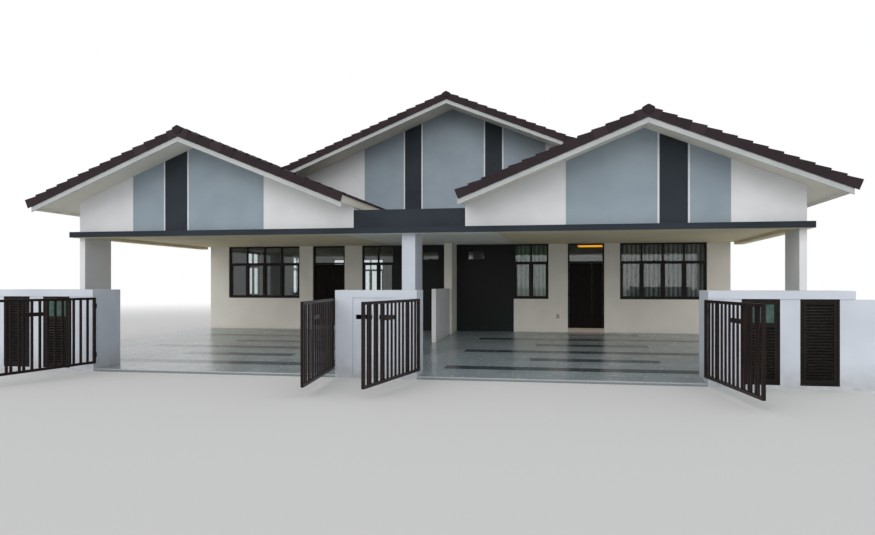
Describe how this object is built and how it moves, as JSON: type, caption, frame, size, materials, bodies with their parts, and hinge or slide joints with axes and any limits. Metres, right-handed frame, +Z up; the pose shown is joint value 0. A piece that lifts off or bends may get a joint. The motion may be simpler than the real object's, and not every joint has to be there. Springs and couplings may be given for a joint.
{
  "type": "semi-detached bungalow pair",
  "caption": "Mirrored pair of single-storey homes under one gabled tile roof, with gabled car porches, folding-back driveway gates and louvred stores in the front boundary wall.",
  "frame": {"origin": "on the ground, on the party line between the homes, in the front face of the porch gable walls", "axes": "+X along the street to the right-hand home, +Y from the street into the house, +Z up"},
  "size_m": [18.92, 23.8679, 7.7544],
  "materials": {
    "wall_render": "painted render, matt",
    "grey_render": "painted render, matt",
    "dark_render": "painted render, matt",
    "dark_stone": "dark wall tile, satin",
    "floor_tile": "floor tile, satin",
    "porch_tile": "outdoor floor tile, matt",
    "ceiling_board": "painted board, matt",
    "soffit_board": "painted board, matt",
    "roof_tile": "concrete roof tile, matt",
    "fascia_paint": "painted board, satin",
    "bronze_aluminium": "powder-coated, satin",
    "window_glass": "float glass, gloss",
    "dark_timber": "stained timber, satin",
    "gate_steel": "painted steel, satin",
    "louvre_aluminium": "powder-coated, satin",
    "hinge_steel": "satin"
  },
  "bodies": {
    "building": {"front_outer_walls": "wall_render", "front_inner_walls": "wall_render", "party_wall": "wall_render", "low_party_wall": "wall_render", "side_walls": "wall_render", "rear_wall": "wall_render", "main_gable_wall": "wall_render", "centre_column": "wall_render", "outer_columns": "wall_render", "porch_gable_walls": "wall_render", "porch_side_walls": "wall_render", "centre_pier": "wall_render", "store_walls": "wall_render", "store_caps": "wall_render", "boundary_end_walls": "wall_render", "house_floor": "floor_tile", "porch_floor": "porch_tile", "door_sills": "floor_tile", "feature_walls": "dark_stone", "grey_panels": "grey_render", "dark_panels": "dark_render", "ledge_band": "dark_render", "centre_parapet": "dark_render", "porch_ceiling": "ceiling_board", "house_ceiling": "ceiling_board", "main_roof": "roof_tile", "porch_roofs": "roof_tile", "ridge_caps": "roof_tile", "barge_boards": "fascia_paint", "eaves_boards": "fascia_paint", "main_soffits": "soffit_board", "porch_soffits": "soffit_board", "window_frames": "bronze_aluminium", "entrance_frames": "bronze_aluminium", "window_glass": "window_glass", "store_frames": "louvre_aluminium", "gate_hinges": "gate_steel", "door_hinges": "hinge_steel"},
    "entrance_door_right": {"entrance_door_right": "dark_timber"},
    "side_leaf_right": {"side_leaf_right": "dark_timber"},
    "gate_right_inner": {"gate_right_inner": "gate_steel"},
    "gate_right_outer": {"gate_right_outer": "gate_steel"},
    "louvre_door_right_near": {"louvre_door_right_near": "louvre_aluminium"},
    "louvre_door_right_far": {"louvre_door_right_far": "louvre_aluminium"},
    "entrance_door_left": {"entrance_door_left": "dark_timber"},
    "side_leaf_left": {"side_leaf_left": "dark_timber"},
    "gate_left_inner": {"gate_left_inner": "gate_steel"},
    "gate_left_outer": {"gate_left_outer": "gate_steel"},
    "louvre_door_left_near": {"louvre_door_left_near": "louvre_aluminium"},
    "louvre_door_left_far": {"louvre_door_left_far": "louvre_aluminium"}
  },
  "joints": [
    {"name": "entrance_door_right_hinge", "type": "hinge", "parent": "building", "child": "entrance_door_right", "pos_m": [3.7025, 6.51, 0], "axis": [0, 0, 1], "range_deg": [0, 90]},
    {"name": "side_leaf_right_hinge", "type": "hinge", "parent": "building", "child": "side_leaf_right", "pos_m": [4.7115, 6.51, 0], "axis": [0, 0, -1], "range_deg": [0, 90]},
    {"name": "gate_right_inner_hinge", "type": "hinge", "parent": "building", "child": "gate_right_inner", "pos_m": [0.878, -2.855, 0], "axis": [0, 0, 1], "range_deg": [0, 98]},
    {"name": "gate_right_outer_hinge", "type": "hinge", "parent": "building", "child": "gate_right_outer", "pos_m": [6.162, -2.855, 0], "axis": [0, 0, -1], "range_deg": [0, 98]},
    {"name": "louvre_door_right_near_hinge", "type": "hinge", "parent": "building", "child": "louvre_door_right_near", "pos_m": [7.3825, -2.89, 0], "axis": [0, 0, 1], "range_deg": [0, 95]},
    {"name": "louvre_door_right_far_hinge", "type": "hinge", "parent": "building", "child": "louvre_door_right_far", "pos_m": [8.3575, -2.89, 0], "axis": [0, 0, 1], "range_deg": [0, 95]},
    {"name": "entrance_door_left_hinge", "type": "hinge", "parent": "building", "child": "entrance_door_left", "pos_m": [-3.7025, 6.51, 0], "axis": [0, 0, -1], "range_deg": [0, 90]},
    {"name": "side_leaf_left_hinge", "type": "hinge", "parent": "building", "child": "side_leaf_left", "pos_m": [-4.7115, 6.51, 0], "axis": [0, 0, 1], "range_deg": [0, 90]},
    {"name": "gate_left_inner_hinge", "type": "hinge", "parent": "building", "child": "gate_left_inner", "pos_m": [-0.878, -2.855, 0], "axis": [0, 0, -1], "range_deg": [0, 98]},
    {"name": "gate_left_outer_hinge", "type": "hinge", "parent": "building", "child": "gate_left_outer", "pos_m": [-6.162, -2.855, 0], "axis": [0, 0, 1], "range_deg": [0, 98]},
    {"name": "louvre_door_left_near_hinge", "type": "hinge", "parent": "building", "child": "louvre_door_left_near", "pos_m": [-7.3825, -2.89, 0], "axis": [0, 0, -1], "range_deg": [0, 95]},
    {"name": "louvre_door_left_far_hinge", "type": "hinge", "parent": "building", "child": "louvre_door_left_far", "pos_m": [-8.3575, -2.89, 0], "axis": [0, 0, -1], "range_deg": [0, 95]}
  ]
}
